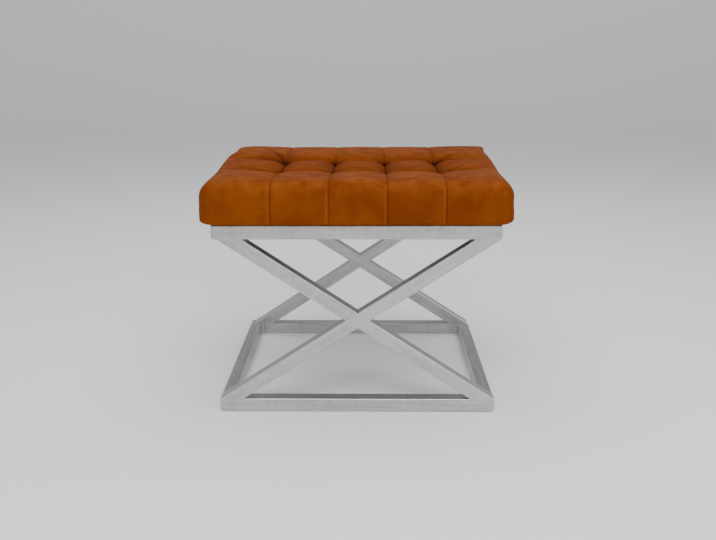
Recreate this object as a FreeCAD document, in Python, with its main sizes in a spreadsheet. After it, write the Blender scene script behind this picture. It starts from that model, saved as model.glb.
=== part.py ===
import FreeCAD
import Part
import math
import os
import re
import Sketcher
from FreeCAD import Placement, Rotation, Vector

# Driving sizes in millimetres: name, value, meaning
SIZES = (
    ("frame_width", 520, "overall width of the welded frame"),
    ("frame_depth", 432, "overall depth of the welded frame"),
    ("frame_height", 362, "height of the welded frame without its glides"),
    ("tube_side", 25, "outer side of the square tube"),
    ("tube_wall", 1.5, "wall of the square tube"),
    ("tube_radius", 1.5, "outer corner radius of the square tube"),
    ("top_inset", 9, "step from the end of the top rail to the upper half leg"),
    ("crossing_offset", 4, "how far right of the middle the half legs point"),
    ("ground_radius", 12, "radius of the leg corner that is ground round"),
    ("cap_thickness", 3, "plate that closes the end of a rail"),
    ("cap_radius", 2.5, "rounding of the upright outer edge of an end plate"),
    ("bead_leg", 5, "side of the weld bead in an inner corner"),
    ("glide_thickness", 2, "head of a glide below the rail"),
    ("glide_diameter", 18, "head of a glide"),
    ("glide_stem_diameter", 8, "stem of a glide"),
    ("glide_stem_length", 9, "stem of a glide"),
    ("glide_inset", 45, "end of the rail to the middle of a glide"),
    ("side_padding", 20, "board's end to the widest part of the cushion"),
    ("front_padding", 15, "board's long edge to the face of the cushion"),
    ("seat_height", 83, "frame to the crown of the cushion"),
    ("seat_corner_radius", 34, "upright corners of the cushion"),
    ("seat_shoulder_radius", 30, "upper edge of the cushion"),
    ("seat_foot_radius", 11, "lower edge of the cushion, where it tucks in"),
    ("leather_thickness", 1.2, "cover leather"),
    ("leather_turn_in", 38, "leather turned in under the board"),
    ("soft_gap", 0.3, "clearance round soft pieces"),
    ("tuft_pitch", 103, "tuft to tuft along the seat"),
    ("tuft_row_pitch", 144, "tuft to tuft across the seat"),
    ("tuft_offset", 4, "how far right of the middle the tufts lie"),
    ("tuft_depth", 19, "depth of a tuft below the crown"),
    ("tuft_pit_radius", 5, "flat floor of the hollow above a tuft"),
    ("tuft_hollow_radius", 46, "rim of the hollow above a tuft"),
    ("board_side_overhang", 4, "frame's end to the end of the plywood board"),
    ("board_front_overhang", 2, "frame's face to the long edge of the plywood board"),
    ("board_thickness", 12, "plywood seat board"),
    ("board_corner_radius", 22, "plywood seat board"),
    ("twine_diameter", 2, "twine that pulls a tuft down"),
    ("knot_diameter", 5, "knot on the twine"),
    ("knot_height", 2, "knot on the twine"),
    ("tie_washer_diameter", 14, "washer that the twine is tied off against"),
    ("tie_washer_thickness", 2, "washer that the twine is tied off against"),
    ("dust_cover_thickness", 0.5, "cloth under the seat"),
    ("dust_cover_gap", 2, "dust cover to the rails round it"),
    ("dust_cover_corner_radius", 5, "corners of the cloth under the seat"),
    ("screw_diameter", 6, "seat screw"),
    ("screw_spacing", 260, "front seat screw to rear seat screw"),
    ("screw_head_diameter", 10.5, "seat screw head"),
    ("screw_head_height", 3.3, "seat screw head"),
    ("screw_head_rounding", 2, "slope round the seat screw's head"),
    ("socket_flats", 4, "hexagon socket of the seat screw across its flats"),
    ("socket_depth", 2, "hexagon socket of the seat screw"),
    ("screw_clearance", 0.4, "play of the screw in its holes, on the diameter"),
    ("screw_end_gap", 1, "end of the screw to the top of the board"),
    ("washer_diameter", 14, "washer under the screw head"),
    ("washer_thickness", 1.4, "washer under the screw head"),
    ("tee_nut_flange_diameter", 19, "tee nut in the board"),
    ("tee_nut_flange_thickness", 1.5, "tee nut in the board"),
    ("tee_nut_barrel_diameter", 7.8, "tee nut in the board"),
    ("tee_nut_barrel_length", 10, "tee nut in the board, flange included"),
    ("fit_gap", 0.1, "play of a metal piece in the bore that holds it, on the radius"),
)

# Lengths and angles that follow from the sizes, as text for the document's expressions
LEG_SPAN = "(frame_height - 2 * tube_side)"
FRAME_MIDDLE = "((frame_depth - tube_side) / 2)"
SIDE_MIDDLE = "((frame_width - tube_side) / 2)"
FRAME_TOP = "(glide_thickness + frame_height)"
SCREW_PLACE = "(screw_spacing / 2)"
TUFT_FLOOR = "(seat_height - tuft_depth)"
BOARD_WIDTH = "(frame_width + 2 * board_side_overhang)"
BOARD_DEPTH = "(frame_depth + 2 * board_front_overhang)"
SEAT_WIDTH = f"({BOARD_WIDTH} + 2 * side_padding)"
SEAT_DEPTH = f"({BOARD_DEPTH} + 2 * front_padding)"
BOARD_BASE = "leather_thickness"
BOARD_TOP = "(leather_thickness + board_thickness)"


def leg_angle(run, rise):
    """Slope of a tube whose edge starts at a corner and whose middle passes run and rise away."""
    return f"(atan({rise} / {run}) + asin(tube_side / 2 / sqrt(({run})^2 + ({rise})^2)))"


THROUGH_ANGLE = leg_angle("(frame_width / 2)", f"({LEG_SPAN} / 2)")
GROUND_TANGENT = f"(ground_radius * tan(45 deg - {THROUGH_ANGLE} / 2))"
GROUND_DEPTH = f"(ground_radius - sqrt(ground_radius^2 - {GROUND_TANGENT}^2))"

# Directions and turns that the pieces are placed with
ALONG_X = Vector(1, 0, 0)
ALONG_Y = Vector(0, 1, 0)
ALONG_Z = Vector(0, 0, 1)
UPSIDE_DOWN = Rotation(ALONG_X, 180)
END_FOR_END = Rotation(ALONG_Y, 180)
SIDEWAYS = Rotation(ALONG_Z, 90)
TINY = 1e-6

# Quarter turns about X that bring a filler to an edge of a tube: front -1 or rear 1, bottom -1 or top 1
EDGE_TURNS = {(-1, 1): 0, (-1, -1): 1, (1, -1): 2, (1, 1): 3}

# Quarter turns about Z that bring a bead to an inner corner: left -1 or right 1, front -1 or rear 1
CORNER_TURNS = {(-1, -1): 0, (1, -1): 1, (1, 1): 2, (-1, 1): 3}

document = FreeCAD.newDocument("x_frame_stool")
sheet = document.addObject("Spreadsheet::Sheet", "Sizes")


def fill_sheet():
    """Write each driving size into its own named cell."""
    for row, (name, size, meaning) in enumerate(SIZES, start=1):
        sheet.set(f"A{row}", meaning)
        sheet.set(f"B{row}", str(size))
        sheet.setAlias(f"B{row}", name)
    document.recompute()


def bound(text):
    """Text of an expression with every size name pointing at its cell."""
    return re.sub(r"[a-z]+(?:_[a-z]+)+", lambda name: "Sizes." + name.group(), text)


def value(text):
    """Number that an expression gives now."""
    result = sheet.evalExpression(bound(text))
    return float(getattr(result, "Value", result))


# Sketches

def new_sketch(body, plane, lift="0"):
    """Sketch on one of the body's own planes, lifted off it along the plane's normal."""
    sketch = body.newObject("Sketcher::SketchObject", "Sketch")
    support = [item for item in body.Origin.OriginFeatures if item.Role == plane][0]
    sketch.AttachmentSupport = [(support, "")]
    sketch.MapMode = "FlatFace"
    sketch.setExpression("AttachmentOffset.Base.z", bound(lift))
    return sketch


def tie(sketch, kind, geometry, point, text):
    """Hold a point of the sketch at a distance from its origin that follows the sheet."""
    constraint = Sketcher.Constraint(kind, -1, 1, geometry, point, value(text))
    number = sketch.addConstraint(constraint)
    sketch.setExpression(f"Constraints[{number}]", bound(text))


def draw_outline(body, plane, corners, lift="0"):
    """Closed outline of straight lines through corners given as pairs of expressions."""
    sketch = new_sketch(body, plane, lift)
    places = [Vector(value(across), value(up), 0) for across, up in corners]
    for start, end in zip(places, places[1:] + places[:1]):
        sketch.addGeometry(Part.LineSegment(start, end))
    for number, (across, up) in enumerate(corners):
        before = (number - 1) % len(corners)
        sketch.addConstraint(Sketcher.Constraint("Coincident", before, 2, number, 1))
        tie(sketch, "DistanceX", number, 1, across)
        tie(sketch, "DistanceY", number, 1, up)
    return sketch


def draw_circles(body, plane, centres, diameter, lift="0"):
    """Circles of one diameter round centres given as pairs of expressions."""
    sketch = new_sketch(body, plane, lift)
    for number, (across, up) in enumerate(centres):
        centre = Vector(value(across), value(up), 0)
        circle = Part.Circle(centre, ALONG_Z, value(diameter) / 2)
        sketch.addGeometry(circle)
        tie(sketch, "DistanceX", number, 3, across)
        tie(sketch, "DistanceY", number, 3, up)
        size = sketch.addConstraint(Sketcher.Constraint("Diameter", number, value(diameter)))
        sketch.setExpression(f"Constraints[{size}]", bound(diameter))
    return sketch


def draw_scooped_corner(body, plane, corner, first, second, centre):
    """Corner whose two straight sides end at an arc that bends towards the corner."""
    sketch = new_sketch(body, plane)
    names = (corner, first, second, centre)
    points = [Vector(value(across), value(up), 0) for across, up in names]
    start = math.atan2(points[1].y - points[3].y, points[1].x - points[3].x)
    end = math.atan2(points[2].y - points[3].y, points[2].x - points[3].x)
    radius = (points[1] - points[3]).Length
    turning_left = math.sin(end - start) > 0
    angles = (start, end) if turning_left else (end, start)
    round_side = Part.ArcOfCircle(Part.Circle(points[3], ALONG_Z, radius), *angles)
    sketch.addGeometry(Part.LineSegment(points[0], points[1]))
    sketch.addGeometry(round_side)
    sketch.addGeometry(Part.LineSegment(points[2], points[0]))
    arc_ends = (1, 2) if turning_left else (2, 1)
    sketch.addConstraint(Sketcher.Constraint("Coincident", 0, 2, 1, arc_ends[0]))
    sketch.addConstraint(Sketcher.Constraint("Coincident", 1, arc_ends[1], 2, 1))
    sketch.addConstraint(Sketcher.Constraint("Coincident", 2, 2, 0, 1))
    for geometry, point, (across, up) in ((0, 1, corner), (0, 2, first), (2, 1, second)):
        tie(sketch, "DistanceX", geometry, point, across)
        tie(sketch, "DistanceY", geometry, point, up)
    tie(sketch, "DistanceX", 1, 3, centre[0])
    return sketch


def rectangle(half_width, half_height):
    """Corners of a rectangle round the origin."""
    return (
        (f"-({half_width})", f"-({half_height})"),
        (half_width, f"-({half_height})"),
        (half_width, half_height),
        (f"-({half_width})", half_height),
    )


# Features

def new_body(label):
    body = document.addObject("PartDesign::Body", label)
    body.Label = label
    return body


def pad(body, sketch, length, both_ways=True):
    """Solid from a sketch, as long on both sides of it, or only along its normal."""
    feature = body.newObject("PartDesign::Pad", "Pad")
    feature.Profile = sketch
    feature.SideType = "Symmetric" if both_ways else "One side"
    feature.setExpression("Length", bound(length))
    document.recompute()
    return feature


def pocket(body, sketch, reach):
    """Cut that reaches as far on both sides of the sketch, compared with the solid before it."""
    before = body.Shape.Volume
    feature = body.newObject("PartDesign::Pocket", "Pocket")
    feature.Profile = sketch
    feature.SideType = "Symmetric"
    feature.setExpression("Length", bound(f"2 * ({reach})"))
    document.recompute()
    if body.Shape.Volume > before - TINY:
        raise ValueError(f"a pocket of {body.Label} cuts nothing")
    return feature


def turn(body, sketch):
    """Solid of revolution about the body's upright axis."""
    axis = [item for item in body.Origin.OriginFeatures if item.Role == "Z_Axis"][0]
    feature = body.newObject("PartDesign::Revolution", "Revolution")
    feature.Profile = sketch
    feature.ReferenceAxis = (axis, [""])
    feature.Angle = 360
    document.recompute()
    return feature


def round_edges(body, radius, wanted):
    """Round the straight or curved edges of the body's last feature that are wanted."""
    base = body.Tip
    edges = [f"Edge{number}" for number, edge in enumerate(base.Shape.Edges, start=1) if wanted(edge)]
    feature = body.newObject("PartDesign::Fillet", "Fillet")
    feature.Base = (base, edges)
    feature.setExpression("Radius", bound(radius))
    document.recompute()
    return feature


def runs_along(edge, direction):
    """Whether an edge is a straight line in a direction."""
    if not isinstance(edge.Curve, Part.Line):
        return False
    return edge.Curve.Direction.cross(direction).Length < TINY


def place(piece, across="0", along="0", up="0", rotation=Rotation()):
    """Put a piece where three expressions say."""
    piece.Placement = Placement(Vector(), rotation)
    for axis, text in zip("xyz", (across, along, up)):
        piece.setExpression(f"Placement.Base.{axis}", bound(text))
    return piece


def gather(label, pieces):
    """One named group of separate solids."""
    group = document.addObject("Part::Compound", label)
    group.Label = label
    group.Links = pieces
    return group


# Rails: straight lengths of square tube

def make_rail(label, length):
    """Tube along X round the origin."""
    body = new_body(label)
    pad(body, draw_outline(body, "YZ_Plane", rectangle("tube_side / 2", "tube_side / 2")), length)
    round_edges(body, "tube_radius", lambda edge: runs_along(edge, ALONG_X))
    inside = "tube_side / 2 - tube_wall"
    pocket(body, draw_outline(body, "YZ_Plane", rectangle(inside, inside)), length)
    return body


def make_long_rails():
    """Top and bottom rails of the front and the rear, shorter by their two end plates."""
    rails = []
    glide_centres = [(f"{side} * (frame_width / 2 - glide_inset)", "0") for side in (-1, 1)]
    for row, side in (("front", -1), ("rear", 1)):
        for level, height in (("top", "frame_height - tube_side / 2"), ("bottom", "tube_side / 2")):
            rail = make_rail(f"{row}_{level}_rail", "frame_width - 2 * cap_thickness")
            if level == "bottom":
                lower_wall = draw_circles(rail, "XY_Plane", glide_centres, "glide_stem_diameter",
                                          "-tube_side / 2")
                pocket(rail, lower_wall, "tube_side / 2")
            place(rail, along=f"{side} * {FRAME_MIDDLE}", up=f"glide_thickness + {height}")
            rails.append(rail)
    return rails


def make_side_rails():
    """Rails between the front and the rear, the upper ones drilled for the seat screws."""
    rails = []
    screw_centres = [(f"{side} * {SCREW_PLACE}", "0") for side in (-1, 1)]
    for row, side in (("left", -1), ("right", 1)):
        for level, height in (("top", "frame_height - tube_side / 2"), ("bottom", "tube_side / 2")):
            rail = make_rail(f"{row}_{level}_rail", "frame_depth - 2 * tube_side")
            if level == "top":
                holes = draw_circles(rail, "XY_Plane", screw_centres, "screw_diameter + screw_clearance")
                pocket(rail, holes, "tube_side")
            place(rail, across=f"{side} * {SIDE_MIDDLE}", up=f"glide_thickness + {height}",
                  rotation=SIDEWAYS)
            rails.append(rail)
    return rails


# Legs: drawn in the plane of one X frame, with the bottom of the lower rail at zero

def tube_between(body, outer, inner, direction):
    """Square tube whose side view is one outline and whose bore is another."""
    pad(body, draw_outline(body, "XZ_Plane", outer), "tube_side")
    round_edges(body, "tube_radius", lambda edge: runs_along(edge, direction))
    pocket(body, draw_outline(body, "XZ_Plane", inner), "tube_side / 2 - tube_wall")


def grind_corner(body):
    """Round the corner that the through leg makes with the end of the upper rail."""
    across = "frame_width / 2"
    up = "frame_height - tube_side"
    on_rail = (across, f"{up} + {GROUND_TANGENT}")
    on_leg = (f"{across} - {GROUND_TANGENT} * cos({THROUGH_ANGLE})",
              f"{up} - {GROUND_TANGENT} * sin({THROUGH_ANGLE})")
    centre = (f"{across} - ground_radius", f"{up} + {GROUND_TANGENT}")
    pocket(body, draw_scooped_corner(body, "XZ_Plane", (across, up), on_rail, on_leg, centre), "tube_side")


def make_through_leg(label):
    """Tube from the lower left corner to the upper right one, cut level at both ends."""
    body = new_body(label)
    edge = "frame_width / 2"
    low = "tube_side"
    high = "frame_height - tube_side"

    def side_view(inset):
        far = f"(tube_side - {inset}) / sin({THROUGH_ANGLE})"
        near = f"{inset} / sin({THROUGH_ANGLE})"
        return (
            (f"-{edge} + {near}", low),
            (f"-{edge} + {far}", low),
            (f"{edge} - {near}", high),
            (f"{edge} - {far}", high),
        )

    slope = math.radians(value(THROUGH_ANGLE))
    direction = Vector(math.cos(slope), 0, math.sin(slope))
    tube_between(body, side_view("0"), side_view("tube_wall"), direction)
    grind_corner(body)
    return body


def half_leg_angle(inset, offset):
    """Slope of a half leg that starts an inset from the rail's end and points past the middle."""
    return leg_angle(f"(frame_width / 2 - {inset} + {offset})", f"({LEG_SPAN} / 2)")


def meeting_length(start, angle):
    """Length of a half leg's edge, from a start beside the rail's end to the through leg's side."""
    reach = f"({LEG_SPAN} * cos({THROUGH_ANGLE}) - ({start}) * sin({THROUGH_ANGLE}))"
    return f"({reach} / sin({THROUGH_ANGLE} + {angle}))"


def make_half_leg(label, inset, offset):
    """Tube from the upper left down to the side of the through leg, where it is cut to fit."""
    body = new_body(label)
    angle = half_leg_angle(inset, offset)
    high = "frame_height - tube_side"

    def meeting(start):
        length = meeting_length(start, angle)
        return (f"-frame_width / 2 + {start} + {length} * cos({angle})", f"{high} - {length} * sin({angle})")

    def side_view(wall):
        near = f"({inset} + {wall} / sin({angle}))"
        far = f"({inset} + (tube_side - {wall}) / sin({angle}))"
        return (
            (f"-frame_width / 2 + {near}", high),
            meeting(near),
            meeting(far),
            (f"-frame_width / 2 + {far}", high),
        )

    slope = math.radians(value(angle))
    direction = Vector(math.cos(slope), 0, -math.sin(slope))
    tube_between(body, side_view("0"), side_view("tube_wall"), direction)
    return body


def make_end_cap(side, top):
    """Plate on the end of a rail, with its outer upright edge rounded."""
    body = new_body("end_cap")
    low = "frame_height - tube_side" if top else "0"
    outer = f"{side} * frame_width / 2"
    inner = f"{side} * (frame_width / 2 - cap_thickness)"
    outline = ((inner, low), (outer, low), (outer, f"{low} + tube_side"), (inner, f"{low} + tube_side"))
    pad(body, draw_outline(body, "XZ_Plane", outline), "tube_side")
    round_edges(body, "tube_radius", lambda edge: runs_along(edge, ALONG_X))

    def outer_front(edge):
        centre = edge.CenterOfMass
        at_end = abs(centre.x - value(outer)) < TINY
        return runs_along(edge, ALONG_Z) and at_end and centre.y < 0

    round_edges(body, "cap_radius", outer_front)
    if top and side > 0:
        grind_corner(body)
    return body


# Welds: metal that fills the groove along a rounded tube edge, ground flush

def make_groove_weld(length, face, level, slope=0):
    """Filler along X for the front or rear, bottom or top edge of a tube, tilted upwards by a slope."""
    body = new_body("groove_weld")
    draw = draw_scooped_corner(body, "YZ_Plane", ("0", "0"), ("tube_radius", "0"), ("0", "-tube_radius"),
                               ("tube_radius", "-tube_radius"))
    pad(body, draw, length, both_ways=False)
    return body, Rotation(ALONG_Y, -slope) * Rotation(ALONG_X, 90 * EDGE_TURNS[face, level])


def make_corner_bead():
    """Hollow-faced bead in the upright inner corner between two rails."""
    body = new_body("corner_bead")
    draw = draw_scooped_corner(body, "XY_Plane", ("0", "0"), ("bead_leg", "0"), ("0", "bead_leg"),
                               ("bead_leg", "bead_leg"))
    pad(body, draw, "tube_side - 2 * tube_radius")
    return body


def make_flush_welds():
    """Where the legs stand on the rails and where the half legs meet the through leg."""
    upper_angle = half_leg_angle("top_inset", "crossing_offset")
    lower_angle = half_leg_angle("0", "-crossing_offset")
    edge = "frame_width / 2"
    high = "frame_height - tube_side"
    through_foot = f"tube_side / sin({THROUGH_ANGLE})"
    upper_foot = f"tube_side / sin({upper_angle})"
    lower_foot = f"tube_side / sin({lower_angle})"
    feet = (
        (f"-{edge} + cap_radius", f"{through_foot} - cap_radius", "tube_side", 1),
        (f"{edge} - {lower_foot}", f"{lower_foot} - cap_radius", "tube_side", 1),
        (f"-{edge} + top_inset", upper_foot, high, -1),
        (f"{edge} - {through_foot}", f"{through_foot} - {GROUND_DEPTH}", high, -1),
    )
    slope = value(THROUGH_ANGLE)
    pieces = []
    for start, length, height, level in feet:
        for face in (-1, 1):
            body, rotation = make_groove_weld(length, face, level)
            pieces.append((body, start, f"{face} * tube_side / 2", height, rotation))
    for inset, angle, mirrored in (("top_inset", upper_angle, False), ("0", lower_angle, True)):
        reach = meeting_length(inset, angle)
        start = f"-{edge} + {inset} + {reach} * cos({angle})"
        height = f"{high} - {reach} * sin({angle})"
        length = f"tube_side / sin({THROUGH_ANGLE} + {angle})"
        for face in (-1, 1):
            body, rotation = make_groove_weld(length, face, 1, slope)
            if mirrored:
                pieces.append((body, f"-({start})", f"{face} * tube_side / 2",
                               f"frame_height - ({height})", END_FOR_END * rotation))
            else:
                pieces.append((body, start, f"{face} * tube_side / 2", height, rotation))
    return pieces


def make_rail_welds():
    """Where the side rails butt against the long rails, with a bead in each inner corner.

    The edge that faces the legs is filled by the weld under each leg's foot.
    """
    pieces = []
    levels = (
        (-1, "glide_thickness", "0"),
        (1, "glide_thickness + frame_height - tube_side", "tube_side"),
    )
    for level, low, outer_edge in levels:
        for side in (-1, 1):
            start = "frame_width / 2 - tube_side" if side > 0 else "-frame_width / 2 + cap_radius"
            for row in (-1, 1):
                inner_face = f"{row} * (frame_depth / 2 - tube_side)"
                body, rotation = make_groove_weld("tube_side - cap_radius", -row, level)
                place(body, start, inner_face, f"{low} + {outer_edge}", rotation)
                bead = make_corner_bead()
                place(bead, f"{side} * (frame_width / 2 - tube_side)", inner_face,
                      f"{low} + tube_side / 2", Rotation(ALONG_Z, 90 * CORNER_TURNS[side, row]))
                pieces += [body, bead]
    return gather("corner_welds", pieces)


def place_in_row(row, piece, across="0", along="0", up="0", rotation=Rotation()):
    """Put a piece of an X frame into the front row as drawn, or into the rear row upside down."""
    if row == "front":
        place(piece, across, f"{along} - {FRAME_MIDDLE}", f"glide_thickness + {up}", rotation)
    else:
        place(piece, across, f"{FRAME_MIDDLE} - ({along})", f"{FRAME_TOP} - ({up})",
              UPSIDE_DOWN * rotation)
    return piece


def make_x_frame(row):
    """The crossed legs, end plates and ground welds of one row."""
    upper, lower = ("upper", "lower") if row == "front" else ("lower", "upper")
    through_leg = place_in_row(row, make_through_leg(f"{row}_through_leg"))
    inset_leg = make_half_leg(f"{row}_{upper}_half_leg", "top_inset", "crossing_offset")
    place_in_row(row, inset_leg)
    corner_leg = make_half_leg(f"{row}_{lower}_half_leg", "0", "-crossing_offset")
    place_in_row(row, corner_leg, up="frame_height", rotation=END_FOR_END)
    caps = [place_in_row(row, make_end_cap(side, top)) for side in (-1, 1) for top in (False, True)]
    welds = [place_in_row(row, *weld) for weld in make_flush_welds()]
    return [
        through_leg,
        inset_leg,
        corner_leg,
        gather(f"{row}_end_caps", caps),
        gather(f"{row}_flush_welds", welds),
    ]


# Glides

def make_glide():
    """Round head below the rail and a stem pushed through its lower wall."""
    body = new_body("glide")
    head = "glide_diameter / 2"
    stem = "glide_stem_diameter / 2 - fit_gap"
    outline = (
        ("0", "-glide_thickness"),
        (f"{head} - glide_thickness / 2", "-glide_thickness"),
        (head, "-glide_thickness / 2"),
        (head, "0"),
        (stem, "0"),
        (stem, "glide_stem_length - tube_wall"),
        (f"{stem} - tube_wall", "glide_stem_length"),
        ("0", "glide_stem_length"),
    )
    turn(body, draw_outline(body, "XZ_Plane", outline))
    return body


def make_glides():
    glides = []
    for side in (-1, 1):
        for row in (-1, 1):
            glides.append(place(make_glide(), f"{side} * (frame_width / 2 - glide_inset)",
                                f"{row} * {FRAME_MIDDLE}", "glide_thickness"))
    return gather("foot_glides", glides)


# Seat: drawn with the top of the frame at zero

def tuft_places():
    """Middles of the tufts, a row in front and a row behind."""
    return [
        (f"tuft_offset + {column} * tuft_pitch / 2", f"{row} * tuft_row_pitch / 2")
        for row in (-1, 1)
        for column in (-3, -1, 1, 3)
    ]


def screw_places():
    return [(f"{side} * {SIDE_MIDDLE}", f"{row} * {SCREW_PLACE}") for side in (-1, 1) for row in (-1, 1)]


def cushion_form(body, inset):
    """The cushion's outer shape drawn in by an inset, with a funnel over each tuft."""
    pad_sketch = draw_outline(body, "XY_Plane",
                              rectangle(f"{SEAT_WIDTH} / 2 - {inset}", f"{SEAT_DEPTH} / 2 - {inset}"),
                              "seat_height / 2")
    pad(body, pad_sketch, f"seat_height - 2 * {inset}")
    round_edges(body, f"seat_corner_radius - {inset}", lambda edge: runs_along(edge, ALONG_Z))
    top = value(f"seat_height - {inset}")
    round_edges(body, f"seat_shoulder_radius - {inset}",
                lambda edge: abs(edge.BoundBox.ZMin - top) < TINY)
    foot = value(inset)
    round_edges(body, f"seat_foot_radius - {inset}",
                lambda edge: abs(edge.BoundBox.ZMax - foot) < TINY)
    for across, along in tuft_places():
        funnel = body.newObject("PartDesign::SubtractiveCone", "Funnel")
        funnel.setExpression("Radius1", bound("tuft_pit_radius"))
        funnel.setExpression("Radius2", bound("tuft_hollow_radius"))
        funnel.setExpression("Height", bound("tuft_depth"))
        funnel.setExpression("Placement.Base.x", bound(across))
        funnel.setExpression("Placement.Base.y", bound(along))
        funnel.setExpression("Placement.Base.z", bound(f"{TUFT_FLOOR} - {inset}"))
    document.recompute()


def make_leather_cover():
    """Leather skin, open below inside its turned-in edge, pierced by the twine and the screws."""
    inside = new_body("cover_inside")
    cushion_form(inside, "leather_thickness")
    body = new_body("leather_cover")
    cushion_form(body, "0")
    cut = body.newObject("PartDesign::Boolean", "Boolean")
    cut.Type = "Cut"
    cut.setObjects([inside])
    document.recompute()
    opening = rectangle(f"{BOARD_WIDTH} / 2 - leather_turn_in", f"{BOARD_DEPTH} / 2 - leather_turn_in")
    pocket(body, draw_outline(body, "XY_Plane", opening), "2 * leather_thickness")
    screws = draw_circles(body, "XY_Plane", screw_places(), "screw_diameter + screw_clearance")
    pocket(body, screws, "2 * leather_thickness")
    needles = draw_circles(body, "XY_Plane", tuft_places(), "twine_diameter + 2 * soft_gap", TUFT_FLOOR)
    pocket(body, needles, "2 * leather_thickness")
    return place(body, up=FRAME_TOP)


def make_foam_core():
    """Foam that fills the leather above and round the board."""
    body = new_body("foam_core")
    cushion_form(body, "(leather_thickness + soft_gap)")
    seat = rectangle(f"{BOARD_WIDTH} / 2 + soft_gap", f"{BOARD_DEPTH} / 2 + soft_gap")
    pocket(body, draw_outline(body, "XY_Plane", seat), f"{BOARD_TOP} + soft_gap")
    bores = draw_circles(body, "XY_Plane", tuft_places(), "twine_diameter + 2 * soft_gap")
    pocket(body, bores, "seat_height")
    return place(body, up=FRAME_TOP)


def make_seat_board():
    """Plywood with sunk tee nuts above and sunk tie washers below."""
    body = new_body("seat_board")
    outline = draw_outline(body, "XY_Plane", rectangle(f"{BOARD_WIDTH} / 2", f"{BOARD_DEPTH} / 2"),
                           "board_thickness / 2")
    pad(body, outline, "board_thickness")
    round_edges(body, "board_corner_radius", lambda edge: runs_along(edge, ALONG_Z))
    bores = (
        (screw_places(), "0", "tee_nut_barrel_diameter + 2 * fit_gap", "2 * board_thickness"),
        (screw_places(), "board_thickness", "tee_nut_flange_diameter + 2 * fit_gap",
         "tee_nut_flange_thickness"),
        (tuft_places(), "0", "twine_diameter + 2 * soft_gap", "2 * board_thickness"),
        (tuft_places(), "0", "tie_washer_diameter + 2 * fit_gap", "tie_washer_thickness + knot_height"),
    )
    for places, height, diameter, reach in bores:
        pocket(body, draw_circles(body, "XY_Plane", places, diameter, height), reach)
    return place(body, up=f"{FRAME_TOP} + {BOARD_BASE}")


def make_dust_cover():
    """Cloth across the underside, inside the upper rails."""
    body = new_body("dust_cover")
    outline = rectangle("frame_width / 2 - tube_side - dust_cover_gap",
                        "frame_depth / 2 - tube_side - dust_cover_gap")
    pad(body, draw_outline(body, "XY_Plane", outline), "dust_cover_thickness")
    round_edges(body, "dust_cover_corner_radius", lambda edge: runs_along(edge, ALONG_Z))
    return place(body, up=f"{FRAME_TOP} - dust_cover_thickness / 2")


# Fastenings

def make_tie():
    """Twine with a knot on top of the leather and one below its washer."""
    body = new_body("tie")
    low = f"{BOARD_BASE} + knot_height"
    middle = "twine_diameter / 2"
    knot = "knot_diameter / 2"
    high = f"{TUFT_FLOOR} + soft_gap"
    outline = (
        ("0", BOARD_BASE),
        (knot, BOARD_BASE),
        (knot, low),
        (middle, low),
        (middle, high),
        (knot, high),
        (knot, f"{TUFT_FLOOR} + knot_height"),
        ("0", f"{TUFT_FLOOR} + knot_height"),
    )
    turn(body, draw_outline(body, "XZ_Plane", outline))
    return body


def make_ring(outer_diameter, inner_diameter, thickness):
    """Flat washer that lies on the origin."""
    body = new_body("ring")
    outer = f"{outer_diameter} / 2"
    inner = f"{inner_diameter} / 2"
    outline = ((inner, "0"), (outer, "0"), (outer, thickness), (inner, thickness))
    turn(body, draw_outline(body, "XZ_Plane", outline))
    return body


def make_tee_nut():
    """Flange on top of the board and a threaded barrel down into it."""
    body = new_body("tee_nut")
    bore = "screw_diameter / 2 + fit_gap"
    barrel = "tee_nut_barrel_diameter / 2"
    flange = "tee_nut_flange_diameter / 2"
    base = "tee_nut_flange_thickness - tee_nut_barrel_length"
    outline = (
        (bore, base),
        (barrel, base),
        (barrel, "0"),
        (flange, "0"),
        (flange, "tee_nut_flange_thickness"),
        (bore, "tee_nut_flange_thickness"),
    )
    turn(body, draw_outline(body, "XZ_Plane", outline))
    return body


def make_seat_screw():
    """Sloped head with a hexagon socket, and a shank up through the rail into the tee nut."""
    body = new_body("seat_screw")
    head = "screw_head_diameter / 2"
    shank = "screw_diameter / 2"
    tip = f"washer_thickness + tube_side + {BOARD_TOP} - screw_end_gap"
    outline = (
        ("0", "-screw_head_height"),
        (f"{head} - screw_head_rounding", "-screw_head_height"),
        (head, "screw_head_rounding - screw_head_height"),
        (head, "0"),
        (shank, "0"),
        (shank, f"{tip} - screw_end_gap"),
        (f"{shank} - screw_end_gap", tip),
        ("0", tip),
    )
    turn(body, draw_outline(body, "XZ_Plane", outline))
    corner = "socket_flats / 2 / cos(30 deg)"
    hexagon = [
        (f"{corner} * cos({angle} deg)", f"{corner} * sin({angle} deg)")
        for angle in range(0, 360, 60)
    ]
    pocket(body, draw_outline(body, "XY_Plane", hexagon, "-screw_head_height"), "socket_depth")
    return body


def place_all(make_piece, places, height):
    """A copy of a piece at each place, at one height above the frame's top."""
    return [place(make_piece(), across, along, f"{FRAME_TOP} + {height}") for across, along in places]


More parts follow.
